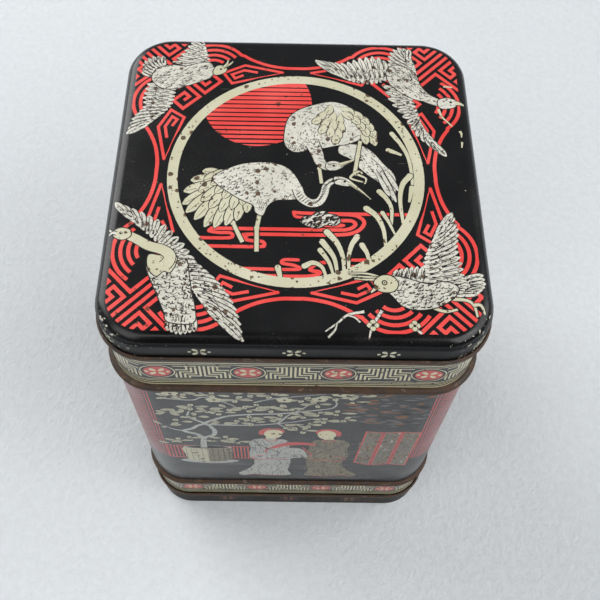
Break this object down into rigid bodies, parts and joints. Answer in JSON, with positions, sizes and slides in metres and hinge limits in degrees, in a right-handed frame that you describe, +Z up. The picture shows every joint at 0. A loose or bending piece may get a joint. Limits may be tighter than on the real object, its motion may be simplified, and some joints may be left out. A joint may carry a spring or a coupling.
{
  "type": "square storage tin",
  "caption": "Square lithographed tin with rounded upright corners and a short slip-on lid that lifts off.",
  "frame": {"origin": "centre of the underside, on the flat ring the tin stands on", "axes": "+Z up through the middle of the lid, front face towards -Y, side seam at the back towards +Y"},
  "size_m": [0.1124, 0.1124, 0.167],
  "materials": {
    "lid_print": "gloss black printing on tinplate, red and cream pictures, rust flecks",
    "body_print": "gloss dark printing on tinplate, garden panels and key-pattern bands, rusty beads",
    "base_print": "gloss black printing on tinplate, rusty rolled hem"
  },
  "bodies": {
    "tin": {"body_wrap": "body_print", "base_pan": "base_print"},
    "lid": {"lid": "lid_print"}
  },
  "joints": [
    {"name": "lid_lift", "type": "slide", "parent": "tin", "child": "lid", "axis": [0, 0, 1], "range_m": [0, 0.05]}
  ]
}
